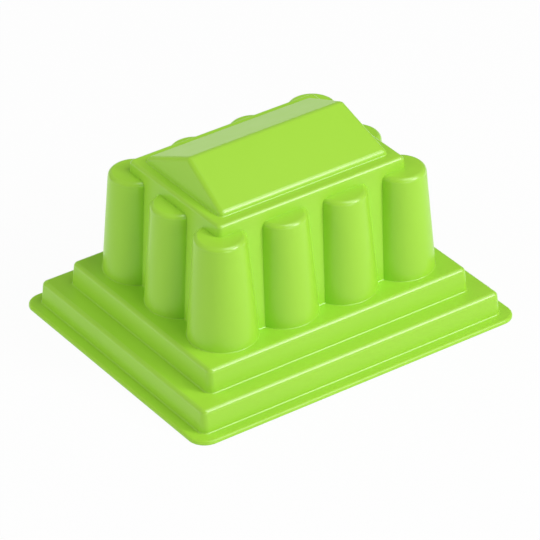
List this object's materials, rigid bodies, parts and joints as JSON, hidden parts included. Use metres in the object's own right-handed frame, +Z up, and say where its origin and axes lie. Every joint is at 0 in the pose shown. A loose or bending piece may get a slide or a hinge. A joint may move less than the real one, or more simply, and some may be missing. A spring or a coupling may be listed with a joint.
{
  "type": "sand mould",
  "caption": "Thin-walled plastic sand mould shaped like a small columned temple on a stepped base, open underneath, with a flat rim.",
  "frame": {"origin": "middle of the rim's flat underside, on which the mould stands", "axes": "+X along the long side, +Y towards the back, +Z up to the roof ridge"},
  "size_m": [0.16, 0.132, 0.0875],
  "materials": {
    "lime_plastic": "satin, moulded, lime green"
  },
  "bodies": {
    "root": {"mould_shell": "lime_plastic"}
  },
  "joints": []
}
